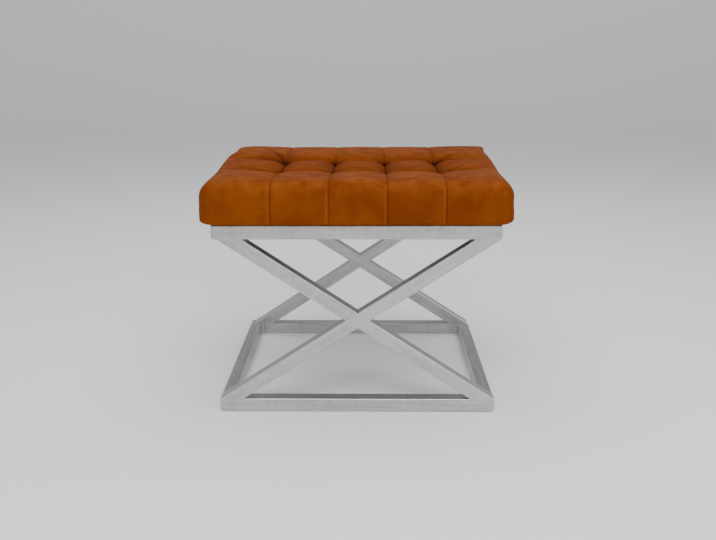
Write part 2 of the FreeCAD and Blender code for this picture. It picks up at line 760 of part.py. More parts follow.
def make_fastenings():
    """Tufting twine, its washers, and the screws, washers and tee nuts that hold the seat."""
    def tie_washer():
        return make_ring("tie_washer_diameter", "(twine_diameter + 2 * fit_gap)", "tie_washer_thickness")

    def screw_washer():
        return make_ring("washer_diameter", "(screw_diameter + screw_clearance)", "washer_thickness")

    under_rail = "(-tube_side - washer_thickness)"
    return [
        gather("tuft_ties", place_all(make_tie, tuft_places(), "0")),
        gather("tie_washers", place_all(tie_washer, tuft_places(), f"{BOARD_BASE} + knot_height")),
        gather("tee_nuts", place_all(make_tee_nut, screw_places(),
                                     f"{BOARD_TOP} - tee_nut_flange_thickness")),
        gather("screw_washers", place_all(screw_washer, screw_places(), under_rail)),
        gather("seat_screws", place_all(make_seat_screw, screw_places(), under_rail)),
    ]


# Build, check and write

def check(pieces):
    """Stop where anything in the document failed or a sub-part is no sound solid."""
    for item in document.Objects:
        if {"Invalid", "Error"} & set(item.State):
            raise ValueError(f"{item.Label} did not build: {item.State}")
    for piece in pieces:
        if piece.Shape.isNull() or not piece.Shape.isValid() or not piece.Shape.Solids:
            raise ValueError(f"{piece.Label} is not a sound solid")


def main():
    fill_sheet()
    pieces = make_long_rails() + make_side_rails() + make_x_frame("front") + make_x_frame("rear")
    pieces += [make_rail_welds(), make_glides(), make_seat_board(), make_foam_core()]
    pieces += [make_leather_cover(), make_dust_cover()]
    pieces += make_fastenings()
    document.recompute()
    check(pieces)
    os.makedirs("parts", exist_ok=True)
    for piece in pieces:
        piece.Shape.exportStep(f"parts/{piece.Label}.step")


main()
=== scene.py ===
"""Finish of an X frame stool: brushed tube, a tufted leather cushion and the cloth under it."""
import math

import bmesh
import bpy
import numpy as np
from mathutils import Matrix, Vector, noise


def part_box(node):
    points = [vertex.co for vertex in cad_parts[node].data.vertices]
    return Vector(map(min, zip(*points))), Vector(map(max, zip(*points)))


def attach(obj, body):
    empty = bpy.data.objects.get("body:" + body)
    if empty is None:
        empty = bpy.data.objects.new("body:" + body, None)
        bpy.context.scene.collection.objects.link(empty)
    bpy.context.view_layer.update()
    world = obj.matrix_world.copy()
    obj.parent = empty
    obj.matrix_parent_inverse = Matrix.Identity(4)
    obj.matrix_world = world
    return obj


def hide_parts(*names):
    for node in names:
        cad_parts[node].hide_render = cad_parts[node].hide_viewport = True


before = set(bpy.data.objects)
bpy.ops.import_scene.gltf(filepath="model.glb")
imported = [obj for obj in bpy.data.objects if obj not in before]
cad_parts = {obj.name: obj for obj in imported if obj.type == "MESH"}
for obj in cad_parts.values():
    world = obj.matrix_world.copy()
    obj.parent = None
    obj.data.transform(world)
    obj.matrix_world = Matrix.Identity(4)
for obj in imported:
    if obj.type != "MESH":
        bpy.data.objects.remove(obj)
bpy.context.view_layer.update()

bl_info = {
    "name": "X frame stool finish",
    "version": (1, 0, 0),
    "blender": (4, 5, 0),
    "location": "3D View, Sidebar, Stool",
    "description": "Finishes the frame, upholsters the seat and sets the stage",
    "category": "Object",
}

MM = 0.001
SEED = 7  # of the random draws and of the noise in the meshes
SEAT_LOW, SEAT_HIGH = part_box("leather_cover")


# Sizes and colours

class CushionSizes(bpy.types.PropertyGroup):
    """How the leather is shaped over the seat."""
    grid: bpy.props.FloatProperty(
        name="Grid", description="Distance between the mesh lines on the leather",
        default=5.5 * MM, unit="LENGTH")
    slack: bpy.props.FloatProperty(
        name="Slack", description="How much smaller the leather starts than it is once stuffed",
        default=2.0 * MM, unit="LENGTH")
    front_corner: bpy.props.FloatProperty(
        name="Front corners", description="Roundness of the upright corners in front",
        default=36 * MM, unit="LENGTH")
    rear_corner: bpy.props.FloatProperty(
        name="Rear corners", description="Roundness of the upright corners at the rear",
        default=11 * MM, unit="LENGTH")
    front_shoulder: bpy.props.FloatProperty(
        name="Front shoulder", description="Roundness of the upper edge in front",
        default=30 * MM, unit="LENGTH")
    rear_shoulder: bpy.props.FloatProperty(
        name="Rear shoulder", description="Roundness of the upper edge at the rear",
        default=10 * MM, unit="LENGTH")
    foot_radius: bpy.props.FloatProperty(
        name="Foot", description="Roundness of the lower edge", default=6 * MM, unit="LENGTH")
    tuft_pull: bpy.props.FloatProperty(
        name="Tuft", description="How far the panels' edges are pulled down at a tuft",
        default=13.5 * MM, unit="LENGTH")
    row_valley: bpy.props.FloatProperty(
        name="Row valley", description="How far the seams along the seat lie below the panels",
        default=9.5 * MM, unit="LENGTH")
    column_valley: bpy.props.FloatProperty(
        name="Column valley", description="How far the seams across the seat lie below the panels",
        default=2.6 * MM, unit="LENGTH")
    middle_drop: bpy.props.FloatProperty(
        name="Middle row", description="How far the middle row of panels lies below the others",
        default=3.2 * MM, unit="LENGTH")
    seam_groove: bpy.props.FloatProperty(
        name="Seam groove", description="Depth of the sharp groove along a seam",
        default=1.1 * MM, unit="LENGTH")
    crease_depth: bpy.props.FloatProperty(
        name="Creases", description="Depth of the folds that run out of a tuft",
        default=3.2 * MM, unit="LENGTH")
    ripple: bpy.props.FloatProperty(
        name="Ripple", description="Height of the loose waves in the leather",
        default=1.5 * MM, unit="LENGTH")
    pressure: bpy.props.FloatProperty(
        name="Pressure", description="Pressure of the stuffing in the cloth simulation", default=4.0)
    steps: bpy.props.IntProperty(
        name="Steps", description="Frames of the cloth simulation", default=20)
    most_movement: bpy.props.FloatProperty(
        name="Most movement", description="How far the simulation may move the leather",
        default=5 * MM, unit="LENGTH")


class ClothSizes(bpy.types.PropertyGroup):
    """The cloth under the seat."""
    cloth_sag: bpy.props.FloatProperty(
        name="Sag", description="How far the cloth hangs in its middle", default=1.2 * MM, unit="LENGTH")
    staple_pitch: bpy.props.FloatProperty(
        name="Staple pitch", description="Staple to staple along an edge", default=38 * MM, unit="LENGTH")
    staple_inset: bpy.props.FloatProperty(
        name="Staple inset", description="Edge of the cloth to its staples", default=7 * MM, unit="LENGTH")
    staple_length: bpy.props.FloatProperty(
        name="Staple", description="Crown of a staple", default=10 * MM, unit="LENGTH")


class Colours(bpy.types.PropertyGroup):
    """Colours of the finishes."""
    leather: bpy.props.FloatVectorProperty(
        name="Leather", description="Tan leather where its dye is deep", subtype="COLOR", size=4,
        default=(0.166, 0.031, 0.0012, 1))
    leather_pale: bpy.props.FloatVectorProperty(
        name="Pale leather", description="Tan leather where its dye is thin", subtype="COLOR", size=4,
        default=(0.222, 0.050, 0.0030, 1))
    # Painted shade in the tufts, valleys and creases, and the dark colour of the seam lines
    leather_seam_and_painted_shade: bpy.props.FloatVectorProperty(
        name="Leather in the tufts", description="Leather in the seams and tufts", subtype="COLOR",
        size=4, default=(0.042, 0.005, 0.0003, 1))
    # Leather worn on the crests, also used for the painted highlight beside the seams on the long faces
    leather_rubbed_and_highlight: bpy.props.FloatVectorProperty(
        name="Rubbed leather", description="Leather on the crests", subtype="COLOR", size=4,
        default=(0.270, 0.080, 0.018, 1))
    steel: bpy.props.FloatVectorProperty(
        name="Steel", description="Brushed stainless tube", subtype="COLOR", size=4,
        default=(0.585, 0.585, 0.565, 1))
    steel_dark: bpy.props.FloatVectorProperty(
        name="Steel in the grain", description="Grain lines of the brushed tube", subtype="COLOR",
        size=4, default=(0.43, 0.43, 0.415, 1))
    # Painted highlight: paler steel put on the tube's upward rounded edges
    steel_edge_highlight: bpy.props.FloatVectorProperty(
        name="Steel edges", description="Edges of the tube that the belt has polished", subtype="COLOR",
        size=4, default=(0.95, 0.95, 0.94, 1))


class StageSettings(bpy.types.PropertyGroup):
    """Camera, floor and lights."""
    camera_place: bpy.props.FloatVectorProperty(
        name="Camera", description="Where the camera stands", subtype="XYZ", unit="LENGTH", size=3,
        default=(0.0220, -1.5579, 0.6838))
    camera_pitch: bpy.props.FloatProperty(
        name="Pitch", description="How far the camera looks down", default=math.radians(16.65),
        unit="ROTATION")
    camera_yaw: bpy.props.FloatProperty(
        name="Yaw", description="How far the camera looks to the right", default=math.radians(-0.81),
        unit="ROTATION")
    camera_roll: bpy.props.FloatProperty(
        name="Roll", description="Turn of the camera about its line of sight",
        default=math.radians(-0.2), unit="ROTATION")
    lens: bpy.props.FloatProperty(
        name="Lens", description="Focal length on a 36 mm wide picture, in millimetres", default=39.10)
    floor_size: bpy.props.FloatProperty(
        name="Floor", description="Side of the pale floor", default=36.0, unit="LENGTH")
    backdrop_place: bpy.props.FloatProperty(
        name="Backdrop", description="How far behind the stool the floor turns up", default=4.5,
        unit="LENGTH")
    floor_colour: bpy.props.FloatVectorProperty(
        name="Floor colour", description="Pale floor", subtype="COLOR", size=4,
        default=(0.90, 0.90, 0.90, 1))
    glow: bpy.props.FloatProperty(
        name="Glow", description="Light that the lit floor and backdrop give by themselves", default=0.14)


SETTINGS = {
    "stool_cushion": CushionSizes,
    "stool_cloth": ClothSizes,
    "stool_colours": Colours,
    "stool_stage": StageSettings,
}


# Materials

# Sockets of the Mix node when it mixes colours
MIX_SHARE, MIX_FIRST, MIX_SECOND, MIX_RESULT = 0, 6, 7, 2


class Flow:
    """A number on its way through a material: sums on it add Math nodes."""

    def __init__(self, finish, socket):
        self.finish = finish
        self.socket = socket

    def sum(self, operation, *terms):
        node = self.finish.node("ShaderNodeMath", {"operation": operation}, dict(enumerate(terms)))
        return Flow(self.finish, node.outputs[0])

    def __add__(self, other):
        return self.sum("ADD", self, other)

    def __radd__(self, other):
        return self.sum("ADD", other, self)

    def __sub__(self, other):
        return self.sum("SUBTRACT", self, other)

    def __rsub__(self, other):
        return self.sum("SUBTRACT", other, self)

    def __mul__(self, other):
        return self.sum("MULTIPLY", self, other)

    def __rmul__(self, other):
        return self.sum("MULTIPLY", other, self)

    def held(self, low, high):
        """The number between two bounds."""
        return self.sum("MINIMUM", self.sum("MAXIMUM", self, low), high)


class Finish:
    """One material with a Principled shader, and the nodes that feed it."""

    def __init__(self, name, constants):
        self.material = bpy.data.materials.new(name)
        self.material.use_nodes = True
        self.tree = self.material.node_tree
        self.shader = self.tree.nodes["Principled BSDF"]
        for socket, value in constants.items():
            self.feed(socket, value)
        self.coordinates = self.tree.nodes.new("ShaderNodeTexCoord")

    def supply(self, socket, value):
        """Give a socket a link or a constant."""
        if isinstance(value, Flow):
            value = value.socket
        if isinstance(value, bpy.types.NodeSocket):
            self.tree.links.new(value, socket)
        else:
            socket.default_value = value

    def feed(self, name, value):
        """Supply one of the shader's own sockets."""
        self.supply(self.shader.inputs[name], value)

    def node(self, kind, settings, inputs):
        """A node of any kind: its settings first, then the values and links of its sockets."""
        node = self.tree.nodes.new(kind)
        for name, value in settings.items():
            setattr(node, name, value)
        for name, value in inputs.items():
            self.supply(node.inputs[name], value)
        return node

    def places(self, scale=(1, 1, 1), slope=0.0):
        """Object coordinates, turned so that a line rising by the slope lies along X, then squeezed."""
        stretch = tuple(1 / part for part in scale)
        return self.node("ShaderNodeMapping", {"vector_type": "TEXTURE"}, {
            "Vector": self.coordinates.outputs["Object"], "Scale": stretch,
            "Rotation": (0, -slope, 0)}).outputs[0]

    def facing(self):
        """The direction of the surface as three numbers, in the object's own axes."""
        parts = self.node("ShaderNodeSeparateXYZ", {}, {0: self.coordinates.outputs["Normal"]}).outputs
        return [Flow(self, part) for part in parts]

    def noise(self, vector, scale, detail=2.0, roughness=0.5, distortion=0.0):
        """Soft random clouds from 0 to 1."""
        return Flow(self, self.node("ShaderNodeTexNoise", {}, {
            "Vector": vector, "Scale": scale, "Detail": detail, "Roughness": roughness,
            "Distortion": distortion}).outputs["Fac"])

    def cells(self, vector, scale, feature="F1", smoothness=None):
        """Distance from the middle of the nearest of many random cells."""
        inputs = {"Vector": vector, "Scale": scale}
        if smoothness is not None:
            inputs["Smoothness"] = smoothness
        return Flow(self, self.node("ShaderNodeTexVoronoi", {"feature": feature}, inputs).outputs[0])

    def ramp(self, value, low, high):
        """A number spread so that low becomes 0 and high becomes 1, with soft ends."""
        node = self.node("ShaderNodeMapRange", {"interpolation_type": "SMOOTHSTEP"}, {
            "Value": value, "From Min": low, "From Max": high})
        return Flow(self, node.outputs[0])

    def attribute(self, name):
        """A number kept on the piece's vertices."""
        return Flow(self, self.node("ShaderNodeAttribute", {"attribute_name": name}, {}).outputs["Fac"])

    def mix(self, share, first, second):
        """Colour between two colours."""
        return self.node("ShaderNodeMix", {"data_type": "RGBA"}, {
            MIX_SHARE: share, MIX_FIRST: first, MIX_SECOND: second}).outputs[MIX_RESULT]

    def bump(self, height, distance, strength=1.0, under=None):
        """A normal raised by a height, over another bump where one is given."""
        inputs = {"Height": height, "Distance": distance, "Strength": strength}
        if under is not None:
            inputs["Normal"] = under
        return self.node("ShaderNodeBump", {}, inputs).outputs[0]


def dress(names, finish):
    """Give CAD nodes or pieces a finish."""
    for name in names:
        piece = bpy.data.objects[name]
        if not piece.material_slots:
            piece.data.materials.append(finish.material)
        for slot in piece.material_slots:
            slot.material = finish.material


def brushed_steel(name, slope=0.0, across=False):
    """Satin stainless tube, brushed along X, along a slope in the XZ plane, or along Y, with a painted
    highlight on its upward rounded edges.
    """
    colours = bpy.context.scene.stool_colours
    finish = Finish(name, {"Metallic": 1.0, "Specular IOR Level": 0.5})

    def brushed(squeeze, scale, detail):
        """Noise drawn out along the brushing."""
        axes = (1, squeeze, 1) if across else (squeeze, 1, 1)
        return finish.noise(finish.places(scale=axes, slope=slope), scale, detail, roughness=0.6)

    lines = brushed(squeeze=0.012, scale=900, detail=3)
    streaks = brushed(squeeze=0.06, scale=170, detail=2)
    mottle = finish.noise(finish.places(), scale=75, detail=5, roughness=0.7)
    cloudy = finish.noise(finish.places(), scale=14)
    share = lines * 0.34 + streaks * 0.24 + mottle * 0.28 + cloudy * 0.14
    east, north, upward = finish.facing()
    # Both numbers are large only on the rounded edge between two flat faces
    flat_a, flat_b = (east * east, upward * upward) if across else (north * north, 1 - north * north)
    edge = finish.ramp(flat_a * flat_b * 4, low=0.15, high=0.8)
    # Painted highlight: the rounded edges that face upward get a paler, smoother steel, standing in for the
    # light they catch
    painted_edge_highlight = edge * finish.ramp(upward, low=0.05, high=0.5)
    brushed_colour = finish.mix(finish.ramp(share, low=0.40, high=0.58), tuple(colours.steel_dark),
                                tuple(colours.steel))
    smoothest = 0.42 if across else 0.28
    finish.feed("Base Color", finish.mix(painted_edge_highlight, brushed_colour, tuple(colours.steel_edge_highlight)))
    finish.feed("Roughness", smoothest + share * 0.20 - painted_edge_highlight * 0.08)
    finish.feed("Normal", finish.bump(lines * 0.7 + mottle * 0.3, distance=0.08 * MM, strength=0.7))
    return finish


def tan_leather():
    """Aniline leather: pebble grain, cloudy dye, dark seam lines, painted shade in the tufts, valleys and
    creases, worn pale on the crests, and a painted highlight beside the seams on the long faces.
    """
    colours = bpy.context.scene.stool_colours
    finish = Finish("tan_leather", {"Specular IOR Level": 0.05, "IOR": 1.35})
    place = finish.places()
    clouds = finish.noise(place, scale=9, detail=4, roughness=0.55)
    blotches = finish.noise(place, scale=38, detail=3, roughness=0.6)
    pores = finish.cells(place, scale=900)
    wrinkles = finish.noise(finish.places(scale=(1, 1, 1.7)), scale=120, detail=5, roughness=0.65,
                            distortion=0.7)
    depth, crest = finish.attribute("depth"), finish.attribute("crest")
    seam, fold, painted_seam_highlight = (finish.attribute(name) for name in ("seam", "fold", "painted_seam_highlight"))
    stitched = 1 - finish.ramp(seam, low=0.4 * MM, high=2.1 * MM)
    dyed = finish.mix(finish.ramp(clouds * 0.6 + blotches * 0.4, low=0.36, high=0.66),
                      tuple(colours.leather), tuple(colours.leather_pale))
    crest_wear = crest * finish.ramp(blotches, low=0.3, high=0.75) * 0.55
    # Painted highlight: a paler strip along one side of each seam on the long faces
    seam_highlight_share = painted_seam_highlight * (0.25 + blotches * 0.5)
    rubbed_and_highlighted = finish.mix(crest_wear, dyed, tuple(colours.leather_rubbed_and_highlight))
    rubbed_and_highlighted = finish.mix(seam_highlight_share, rubbed_and_highlighted, tuple(colours.leather_rubbed_and_highlight))
    # Painted shade: darker where the leather is sunk and where it lies in a crease; the seam lines are
    # darkened as well
    shaded = (depth * 0.80 + fold * 0.6 + stitched * 0.36).held(0, 1)
    finish.feed("Base Color", finish.mix(shaded, rubbed_and_highlighted, tuple(colours.leather_seam_and_painted_shade)))
    finish.feed("Roughness", (0.50 + clouds * 0.12 + depth * 0.15 - crest * 0.05).held(0.3, 0.85))
    fine = finish.bump(pores, distance=0.25 * MM, strength=0.35)
    finish.feed("Normal", finish.bump(wrinkles, distance=0.9 * MM, strength=0.32, under=fine))
    return finish


def dull_nylon():
    """Clear nylon of the glides and the ties' washers."""
    finish = Finish("nylon_glides", {"Specular IOR Level": 0.4})
    shade = finish.noise(finish.places(), scale=300, detail=3)
    finish.feed("Base Color", finish.mix(shade, (0.60, 0.59, 0.56, 1), (0.72, 0.71, 0.68, 1)))
    finish.feed("Roughness", 0.45 + shade * 0.15)
    return finish


def zinc_plate():
    """Zinc on the screws, washers, nuts and staples."""
    finish = Finish("zinc_plate", {"Metallic": 1.0})
    shade = finish.noise(finish.places(), scale=500, detail=3)
    finish.feed("Base Color", finish.mix(shade, (0.42, 0.44, 0.48, 1), (0.62, 0.62, 0.60, 1)))
    finish.feed("Roughness", 0.28 + shade * 0.2)
    return finish


def sawn_plywood():
    """Bare plywood with its plies on the edges."""
    finish = Finish("sawn_plywood", {"Specular IOR Level": 0.3})
    grain = finish.noise(finish.places(scale=(0.06, 1, 1)), scale=220, detail=5, roughness=0.6)
    plies = finish.noise(finish.places(scale=(0.01, 0.01, 1)), scale=620, detail=1)
    share = finish.ramp(grain * 0.6 + plies * 0.4, low=0.35, high=0.65)
    finish.feed("Base Color", finish.mix(share, (0.36, 0.23, 0.12, 1), (0.60, 0.44, 0.26, 1)))
    finish.feed("Roughness", 0.6 + grain * 0.2)
    finish.feed("Normal", finish.bump(grain, distance=0.3 * MM, strength=0.3))
    return finish


def waxed_twine():
    """Dark waxed twine of the ties."""
    finish = Finish("waxed_twine", {"Specular IOR Level": 0.08})
    strand = finish.noise(finish.places(scale=(1, 1, 3)), scale=1400)
    finish.feed("Base Color", finish.mix(strand, (0.030, 0.005, 0.001, 1), (0.075, 0.016, 0.003, 1)))
    finish.feed("Roughness", 0.5 + strand * 0.2)
    finish.feed("Normal", finish.bump(strand, distance=0.4 * MM, strength=0.6))
    return finish


def black_cloth():
    """Black non-woven cloth with pressed dimples."""
    finish = Finish("black_cloth", {"Specular IOR Level": 0.2})
    fibres = finish.noise(finish.places(scale=(1, 0.35, 1)), scale=1500, detail=4, roughness=0.7)
    dimples = finish.cells(finish.places(), scale=420, feature="SMOOTH_F1", smoothness=0.3)
    finish.feed("Base Color", finish.mix(fibres, (0.006, 0.006, 0.007, 1), (0.03, 0.03, 0.032, 1)))
    finish.feed("Roughness", 0.75 + fibres * 0.2)
    finish.feed("Normal", finish.bump(fibres * 0.5 + dimples * 0.5, distance=0.4 * MM, strength=0.5))
    return finish


# Mesh tools

def deselect():
    bpy.ops.object.select_all(action="DESELECT")


def make_active(piece):
    deselect()
    piece.select_set(True)
    bpy.context.view_layer.objects.active = piece


def points_of(piece, kind="co"):
    """Places of a piece's vertices as an array, or their normals."""
    flat = np.empty(len(piece.data.vertices) * 3, np.float32)
    piece.data.vertices.foreach_get(kind, flat)
    return flat.reshape(-1, 3).astype(float)


def set_points(piece, points):
    piece.data.vertices.foreach_set("co", points.astype(np.float32).ravel())
    piece.data.update()


def store(piece, name, values):
    """Keep a number for each vertex where a material can read it."""
    layer = piece.data.attributes.get(name) or piece.data.attributes.new(name, "FLOAT", "POINT")
    layer.data.foreach_set("value", values.astype(np.float32))


def read(piece, name):
    """Numbers kept on the vertices under a name."""
    values = np.empty(len(piece.data.vertices), np.float32)
    piece.data.attributes[name].data.foreach_get("value", values)
    return values.astype(float)


# Cushion: its outer form

TUFTS_IN_ROW = 4
KNOT_RADIUS = 2.5 * MM
CROWD = 0.62  # how closely the mesh lines crowd beside the seams, from 0 to 1
UNDERSIDE_RINGS = (4 * MM, 9 * MM, 15 * MM, 24 * MM, 40 * MM)  # from the edge inwards
# The front's roundness turns into the rear's over this stretch
BLEND_START, BLEND_LENGTH = -130 * MM, 210 * MM
VALLEY_POWER = 2.3  # the higher, the narrower the valleys
JOIN_POWER = 2.5  # the higher, the harder the line where two valleys meet
# How far a tuft pulls its column down: between the two rows of tufts, and towards the long faces
PULL_BETWEEN, PULL_OUTSIDE = 70 * MM, 32 * MM
# Depth of a column valley far from the tufts, in parts of column_valley
REST_BETWEEN, REST_REAR, REST_FRONT = 2.2, 0.25, 0.8
PULL_IN_ROW = 16 * MM
# How much of a row valley is lost beyond the last tuft, and over what length
ROW_LOSS, ROW_LOSS_LENGTH = 0.7, 100 * MM
# How far the ends and the long faces pull in between their corners
END_WAIST, FACE_WAIST, WAIST_POWER = 5 * MM, 3 * MM, 3
# How far the corners lean in above a level, across and along the depth
LEAN_LEVEL, LEAN_ACROSS, LEAN_ALONG, LEAN_POWER = 0.45, 26 * MM, 14 * MM, 6
FULL_CORNER = -0.9  # the right rear corner's part of that lean: it stands out


def tuft_lines():
    """Columns and rows on which the tufts lie, read from the ties of the model."""
    low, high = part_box("tuft_ties")
    columns = np.linspace(low.x + KNOT_RADIUS, high.x - KNOT_RADIUS, TUFTS_IN_ROW)
    rows = np.array([low.y + KNOT_RADIUS, high.y - KNOT_RADIUS])
    return columns, rows


def cushion_box(size):
    """Box of the leather before it is stuffed: smaller all round, but still down on the frame."""
    inset = Vector((size.slack, size.slack, 0))
    return SEAT_LOW + inset, SEAT_HIGH - inset - Vector((0, 0, size.slack))


def line_places(low, high, seams, step):
    """Mesh lines between two ends, closer together beside the seams."""
    stops = [low, *seams, high]
    places = [low]
    for start, end in zip(stops, stops[1:]):
        count = max(2, round((end - start) / step))
        share = np.arange(1, count + 1) / count
        waved = (1 - np.cos(math.pi * share)) / 2
        places += list(start + (end - start) * ((1 - CROWD) * share + CROWD * waved))
    return np.array(places)


def sleeve(columns, rows, size):
    """Box with a grid on top whose rim is drawn down and in: positions are still sharp-cornered."""
    low, high = cushion_box(size)
    xs = line_places(low.x, high.x, columns, size.grid)
    ys = line_places(low.y, high.y, rows, size.grid)
    deselect()
    bpy.ops.mesh.primitive_grid_add(x_subdivisions=len(xs) - 1, y_subdivisions=len(ys) - 1, size=2)
    piece = bpy.context.object
    piece.name = "leather_cushion"
    points = points_of(piece)
    across = np.rint((points[:, 0] + 1) / 2 * (len(xs) - 1)).astype(int)
    along = np.rint((points[:, 1] + 1) / 2 * (len(ys) - 1)).astype(int)
    set_points(piece, np.column_stack([xs[across], ys[along], np.full(len(points), high.z)]))
    bpy.ops.object.mode_set(mode="EDIT")
    bpy.ops.mesh.select_all(action="SELECT")
    bpy.ops.mesh.region_to_loop()
    height = high.z - low.z
    walls = round(height / size.grid)
    for _ in range(walls):
        bpy.ops.mesh.extrude_edges_move(TRANSFORM_OT_translate={"value": (0, 0, -height / walls)})
    half = (high - low) / 2
    for inset in UNDERSIDE_RINGS:
        bpy.ops.mesh.extrude_edges_move(TRANSFORM_OT_translate={"value": (0, 0, 0)})
        loop = [v for v in bmesh.from_edit_mesh(piece.data).verts if v.select]
        reach = max(v.co.x for v in loop), max(v.co.y for v in loop)
        bpy.ops.transform.resize(value=((half.x - inset) / reach[0], (half.y - inset) / reach[1], 1),
                                 center_override=(0, 0, low.z))
    mesh = bmesh.from_edit_mesh(piece.data)
    corner = min((v for v in mesh.verts if v.select), key=lambda v: v.co.x + v.co.y)
    mesh.select_history.clear()
    mesh.select_history.add(corner)
    bpy.ops.mesh.fill_grid(span=len(xs) - 1, offset=0)
    bpy.ops.mesh.select_all(action="SELECT")
    bpy.ops.mesh.normals_make_consistent(inside=False)
    bpy.ops.object.mode_set(mode="OBJECT")
    return piece


def rounded(points, size):
    """Sharp box drawn in to round edges, tighter at the rear, with the outward direction at each point."""
    tiny = 1e-6
    low, high = (np.array(corner) for corner in cushion_box(size))
    upper = points[:, 2] > (low[2] + high[2]) / 2
    back = np.clip((points[:, 1] - BLEND_START) / BLEND_LENGTH, 0, 1)
    back = back * back * (3 - 2 * back)
    corner = size.front_corner + (size.rear_corner - size.front_corner) * back
    shoulder = size.front_shoulder + (size.rear_shoulder - size.front_shoulder) * back
    radius = np.column_stack([corner, corner, np.where(upper, shoulder, size.foot_radius)])
    core = np.clip(points, low + radius, high - radius)
    reach = (points - core) / radius
    length = np.linalg.norm(reach, axis=1, keepdims=True)
    length[length < tiny * MM] = 1
    unit = reach / length
    outward = unit / radius
    outward /= np.maximum(np.linalg.norm(outward, axis=1, keepdims=True), tiny * MM)
    bottom = points[:, 2] < low[2] + tiny
    inner = bottom & (np.abs(reach[:, :2]).max(axis=1) < tiny)
    outward[inner] = (0, 0, -1)
    return core + radius * unit, outward


def nearness(distance, width):
    """1 on a line, falling to 0 at a width from it."""
    return np.clip(1 - distance / width, 0, 1)


def nearest(values, lines):
    """Distance of each value from the nearest of some lines."""
    return np.abs(values[:, None] - lines[None, :]).min(axis=1)


def shape_leather(points, outward, size, columns, rows):
    """Press the valleys and tufts into the round box and let its sides pull in between its corners."""
    low, high = (np.array(corner) for corner in cushion_box(size))
    middle, half = (low + high) / 2, (high - low) / 2
    share = (points - middle) / half
    top = np.clip(outward[:, 2], 0, 1) ** 2
    level = np.clip((points[:, 2] - low[2]) / (high[2] - low[2]), 0, 1)
    to_column, to_row = nearest(points[:, 0], columns), nearest(points[:, 1], rows)
    pitch = columns[1] - columns[0]
    across = nearness(to_column, pitch / 2) ** VALLEY_POWER
    along = nearness(to_row, rows[1]) ** VALLEY_POWER
    between = np.abs(points[:, 1]) < rows[1]
    reach = np.where(between, PULL_BETWEEN, PULL_OUTSIDE)
    outside_rest = np.where(points[:, 1] > 0, REST_REAR, REST_FRONT)
    rest = np.where(between, REST_BETWEEN, outside_rest) * size.column_valley
    column_depth = rest + size.tuft_pull * np.exp(-to_row / reach)
    beyond = np.clip((np.abs(points[:, 0]) - np.abs(columns).max()) / ROW_LOSS_LENGTH, 0, 1)
    row_depth = size.row_valley + (size.tuft_pull - size.row_valley) * np.exp(-to_column / PULL_IN_ROW)
    row_depth *= 1 - ROW_LOSS * beyond
    # A rounded larger-of-two keeps the panels domed where two valleys meet
    valleys = (across * column_depth) ** JOIN_POWER + (along * row_depth) ** JOIN_POWER
    lower = size.middle_drop * np.cos(np.clip(points[:, 1] / rows[1], -1, 1) * math.pi / 2)
    sunk = top * (valleys ** (1 / JOIN_POWER) + lower)
    moved = points - outward * sunk[:, None]
    end = np.abs(outward[:, 0]) ** 2
    front = np.abs(outward[:, 1]) ** 2
    waist = 1 - np.abs(share[:, :2]) ** WAIST_POWER
    side = np.sign(share)
    moved[:, 0] -= side[:, 0] * END_WAIST * waist[:, 1] * end * level
    moved[:, 1] -= side[:, 1] * FACE_WAIST * waist[:, 0] * front * level
    corner = np.abs(share[:, 0]) ** LEAN_POWER * np.abs(share[:, 1]) ** LEAN_POWER
    lean = np.clip(level - LEAN_LEVEL, 0, 1) ** 2 * corner
    lean[(share[:, 0] > 0) & (share[:, 1] > 0)] *= FULL_CORNER
    moved[:, 0] -= side[:, 0] * LEAN_ACROSS * lean
    moved[:, 1] -= side[:, 1] * LEAN_ALONG * lean
    return moved, sunk


# Cushion: folds and waves

CREASE_SPREAD = 0.03  # how much wider a crease grows for each length of it
CREASE_START = 5 * MM
CREASE_FILL, CREASE_FADE = 1.15, 0.8  # how long a crease keeps its depth, and how it ends
# Short creases: turn from the diagonal in degrees, shortest and longest in mm, width, depth
SHORT_TURN, SHORT_LENGTHS, SHORT_WIDTH, SHORT_DEPTH = 26, (22, 42), 2.8 * MM, 0.6
LONG_WIDTH, LONG_DEPTH = 3.6 * MM, 1.25
# Long folds at the ends of the seat: the tuft's end and row, bearing in degrees, length
LONG_FOLDS = (
    ("left", "rear", 118, 120 * MM), ("left", "rear", 172, 75 * MM), ("left", "front", 165, 85 * MM),
    ("right", "front", 38, 70 * MM), ("right", "front", 12, 95 * MM), ("right", "front", -8, 80 * MM),
    ("right", "rear", 35, 75 * MM), ("right", "rear", 8, 60 * MM),
)
# Waves in the leather: how close they are along a face and up it
BROAD_WAVE, FINE_WAVE, FINE_SHARE = (17, 46), (52, 95), 0.5
WAVE_ON_FACE, WAVE_AT_FOOT, WAVE_ON_TOP = 0.35, 0.65, 0.22
WAVE_START = 7 * MM


def one_crease(points, place, bearing, reach, width):
    """A fold out of a tuft: how deep each point lies in it, from 0 to 1."""
    away = points[:, :2] - place
    distance = np.hypot(away[:, 0], away[:, 1])
    turned = np.arctan2(away[:, 1], away[:, 0]) - bearing
    side = distance * np.sin(turned)
    spread = width + distance * CREASE_SPREAD
    fade = np.clip(CREASE_FILL * (1 - distance / reach), 0, 1) ** CREASE_FADE
    fade *= np.clip(distance / CREASE_START, 0, 1)
    return np.exp(-(side / spread) ** 2) * fade * (np.cos(turned) > 0)


